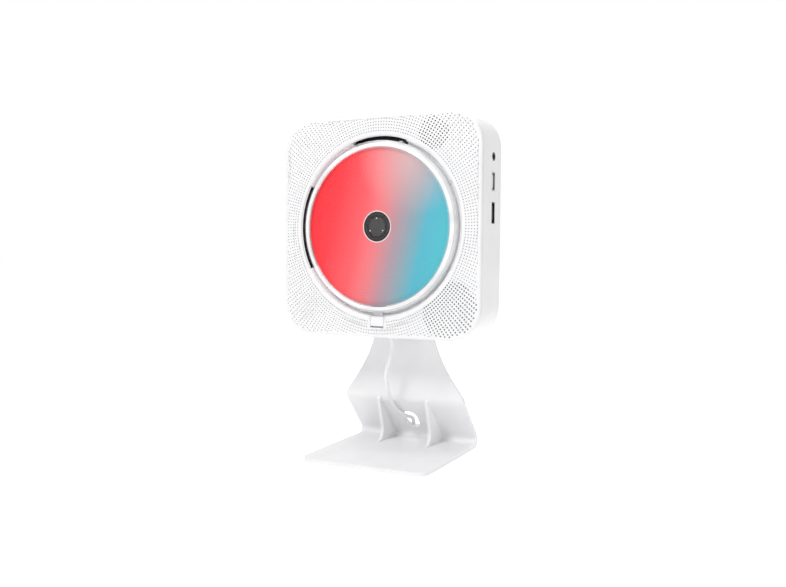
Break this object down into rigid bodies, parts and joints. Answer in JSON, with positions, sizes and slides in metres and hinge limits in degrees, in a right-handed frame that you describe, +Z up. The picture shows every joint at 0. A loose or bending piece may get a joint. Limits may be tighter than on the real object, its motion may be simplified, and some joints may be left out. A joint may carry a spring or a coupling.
{
  "type": "cd player",
  "caption": "Square compact disc player with a hinged clear cover over an upright spindle, on a bent one-piece desk stand, with a coiled power cord.",
  "frame": {"origin": "on the table, under the middle of the stand and player, cord left out", "axes": "+Z up, -Y towards the listener, +X to the listener's right; the player leans back 2.5 degrees"},
  "size_m": [0.1685, 0.1506, 0.2621],
  "materials": {
    "white_plastic": "satin moulded plastic",
    "clear_plastic": "clear polished acrylic",
    "dark_plastic": "black moulded plastic",
    "gear_plastic": "natural acetal",
    "disc_metal": "polished disc",
    "steel": "bright steel",
    "screw_steel": "darkened steel",
    "chassis_steel": "zinc-plated sheet",
    "brass": "turned brass",
    "rubber": "soft rubber",
    "lens_glass": "coated lens",
    "paper": "treated paper cone",
    "circuit_board": "green circuit board"
  },
  "bodies": {
    "player_and_stand": {"front_panel": "white_plastic", "case_shell": "white_plastic", "rear_cover": "white_plastic", "disc_pan": "white_plastic", "cord_grommet": "white_plastic", "desk_stand": "white_plastic", "power_cord": "white_plastic", "power_cord_coil": "white_plastic", "power_cord_tail": "white_plastic", "usb_plug_body": "white_plastic", "audio_jack": "dark_plastic", "speaker_frame_left": "dark_plastic", "speaker_frame_right": "dark_plastic", "cover_hinge_pin": "steel", "spindle_motor": "steel", "guide_rod_left": "steel", "guide_rod_right": "steel", "sled_motor": "steel", "usb_port": "steel", "hdmi_port": "steel", "hook_stud": "steel", "usb_plug_shell": "steel", "rear_screw_0": "screw_steel", "rear_screw_1": "screw_steel", "rear_screw_2": "screw_steel", "rear_screw_3": "screw_steel", "deck_chassis": "chassis_steel", "rubber_damper_0": "rubber", "rubber_damper_1": "rubber", "rubber_damper_2": "rubber", "rubber_damper_3": "rubber", "speaker_cone_left": "paper", "speaker_cone_right": "paper", "main_board": "circuit_board", "button_board": "circuit_board"},
    "cover": {"dust_cover": "clear_plastic"},
    "latch": {"latch_button": "white_plastic"},
    "spindle": {"disc": "disc_metal", "turntable": "dark_plastic", "spindle_hub": "dark_plastic", "chuck_ball_0": "steel", "chuck_ball_1": "steel", "chuck_ball_2": "steel"},
    "sled": {"pickup_sled": "dark_plastic", "lens_holder": "dark_plastic", "objective_lens": "lens_glass"},
    "feed_gear": {"feed_gear": "gear_plastic"},
    "motor_pinion": {"motor_pinion": "brass"},
    "button_0": {"side_button_0": "white_plastic"},
    "button_1": {"side_button_1": "white_plastic"},
    "button_2": {"side_button_2": "white_plastic"},
    "button_3": {"side_button_3": "white_plastic"},
    "button_4": {"side_button_4": "white_plastic"}
  },
  "joints": [
    {"name": "cover_hinge", "type": "hinge", "parent": "player_and_stand", "child": "cover", "pos_m": [0, -0.00786, 0.25016], "axis": [-1, 0, 0], "range_deg": [0, 80]},
    {"name": "latch_slide", "type": "slide", "parent": "player_and_stand", "child": "latch", "axis": [0, -0.0436, -0.999], "range_m": [0, 0.001], "stiffness_N_per_m": 300},
    {"name": "spindle_turn", "type": "hinge", "parent": "player_and_stand", "child": "spindle", "pos_m": [0, -0.0172, 0.1783], "axis": [0, -0.999, 0.0436], "continuous": true},
    {"name": "sled_slide", "type": "slide", "parent": "player_and_stand", "child": "sled", "axis": [0, -0.0436, -0.999], "range_m": [0, 0.033]},
    {"name": "feed_gear_turn", "type": "hinge", "parent": "player_and_stand", "child": "feed_gear", "pos_m": [-0.0255, -0.00451, 0.14572], "axis": [0, 0.999, -0.0436], "range_deg": [0, 316]},
    {"name": "motor_pinion_turn", "type": "hinge", "parent": "player_and_stand", "child": "motor_pinion", "pos_m": [-0.03681, -0.00402, 0.15702], "axis": [0, -0.999, 0.0436], "range_deg": [0, 946]},
    {"name": "button_0_press", "type": "slide", "parent": "player_and_stand", "child": "button_0", "axis": [1, 0, 0], "range_m": [0, 0.0006], "stiffness_N_per_m": 400},
    {"name": "button_1_press", "type": "slide", "parent": "player_and_stand", "child": "button_1", "axis": [1, 0, 0], "range_m": [0, 0.0006], "stiffness_N_per_m": 400},
    {"name": "button_2_press", "type": "slide", "parent": "player_and_stand", "child": "button_2", "axis": [1, 0, 0], "range_m": [0, 0.0006], "stiffness_N_per_m": 400},
    {"name": "button_3_press", "type": "slide", "parent": "player_and_stand", "child": "button_3", "axis": [1, 0, 0], "range_m": [0, 0.0006], "stiffness_N_per_m": 400},
    {"name": "button_4_press", "type": "slide", "parent": "player_and_stand", "child": "button_4", "axis": [1, 0, 0], "range_m": [0, 0.0006], "stiffness_N_per_m": 400}
  ],
  "couplings": [
    {"joint": "feed_gear_turn", "follows": "sled_slide", "rad_per_m": 166.67},
    {"joint": "motor_pinion_turn", "follows": "sled_slide", "rad_per_m": 500}
  ]
}
